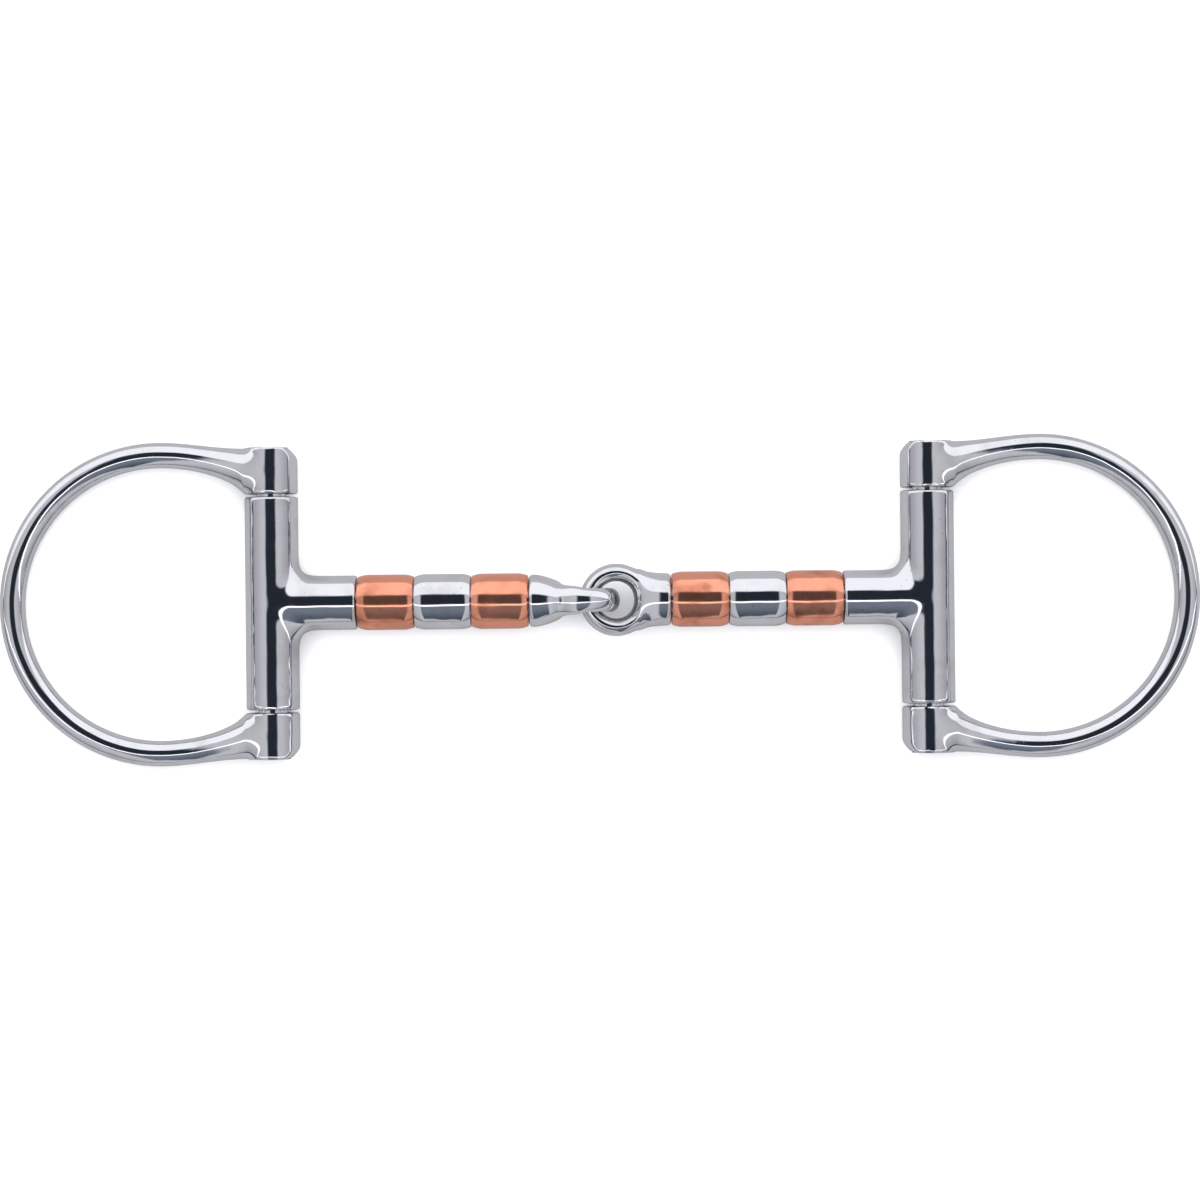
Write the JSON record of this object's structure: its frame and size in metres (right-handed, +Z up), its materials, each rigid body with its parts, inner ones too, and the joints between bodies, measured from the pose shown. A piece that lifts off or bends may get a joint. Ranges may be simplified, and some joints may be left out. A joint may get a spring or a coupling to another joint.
{
  "type": "snaffle bit",
  "caption": "Single-jointed dee-ring snaffle bit: hinged D rings on straight cheek barrels, copper and steel rollers on both arms.",
  "frame": {"origin": "middle of the bit, at the height of the middle of the upright left eye of the centre joint", "axes": "+X along the mouthpiece, +Y along the cheek barrels towards the bridle's cheekpieces, +Z up from the surface that the bit lies on"},
  "size_m": [0.2668, 0.0718, 0.016],
  "materials": {
    "polished_steel": "mirror-polished stainless steel",
    "copper": "polished copper"
  },
  "bodies": {
    "left_arm": {"left_mouth_link": "polished_steel", "left_cheek_barrel": "polished_steel"},
    "right_arm": {"right_mouth_link": "polished_steel", "right_cheek_barrel": "polished_steel"},
    "left_ring": {"left_d_ring": "polished_steel", "left_hinge_pin": "polished_steel"},
    "left_inner_roller": {"left_inner_roller": "copper"},
    "left_middle_roller": {"left_middle_roller": "polished_steel"},
    "left_outer_roller": {"left_outer_roller": "copper"},
    "right_ring": {"right_d_ring": "polished_steel", "right_hinge_pin": "polished_steel"},
    "right_inner_roller": {"right_inner_roller": "copper"},
    "right_middle_roller": {"right_middle_roller": "polished_steel"},
    "right_outer_roller": {"right_outer_roller": "copper"}
  },
  "joints": [
    {"name": "mouth_fold", "type": "hinge", "parent": "left_arm", "child": "right_arm", "pos_m": [-0.00245, 0, 0.00003], "axis": [0, 1, 0], "range_deg": [-133.37, 126.63]},
    {"name": "left_ring_hinge", "type": "hinge", "parent": "left_arm", "child": "left_ring", "pos_m": [-0.07262, 0, -0.0021], "axis": [0, 1, 0], "range_deg": [-168.71, 171.29]},
    {"name": "left_inner_spin", "type": "hinge", "parent": "left_arm", "child": "left_inner_roller", "pos_m": [-0.04243, 0, -0.00118], "axis": [-0.9995, 0, -0.0304], "continuous": true},
    {"name": "left_middle_spin", "type": "hinge", "parent": "left_arm", "child": "left_middle_roller", "pos_m": [-0.04243, 0, -0.00118], "axis": [-0.9995, 0, -0.0304], "continuous": true},
    {"name": "left_outer_spin", "type": "hinge", "parent": "left_arm", "child": "left_outer_roller", "pos_m": [-0.04243, 0, -0.00118], "axis": [-0.9995, 0, -0.0304], "continuous": true},
    {"name": "right_ring_hinge", "type": "hinge", "parent": "right_arm", "child": "right_ring", "pos_m": [0.07262, 0, -0.0021], "axis": [0, -1, 0], "range_deg": [-168.59, 171.41]},
    {"name": "right_inner_spin", "type": "hinge", "parent": "right_arm", "child": "right_inner_roller", "pos_m": [0.03753, 0, -0.0011], "axis": [0.9996, 0, -0.0284], "continuous": true},
    {"name": "right_middle_spin", "type": "hinge", "parent": "right_arm", "child": "right_middle_roller", "pos_m": [0.03753, 0, -0.0011], "axis": [0.9996, 0, -0.0284], "continuous": true},
    {"name": "right_outer_spin", "type": "hinge", "parent": "right_arm", "child": "right_outer_roller", "pos_m": [0.03753, 0, -0.0011], "axis": [0.9996, 0, -0.0284], "continuous": true}
  ]
}
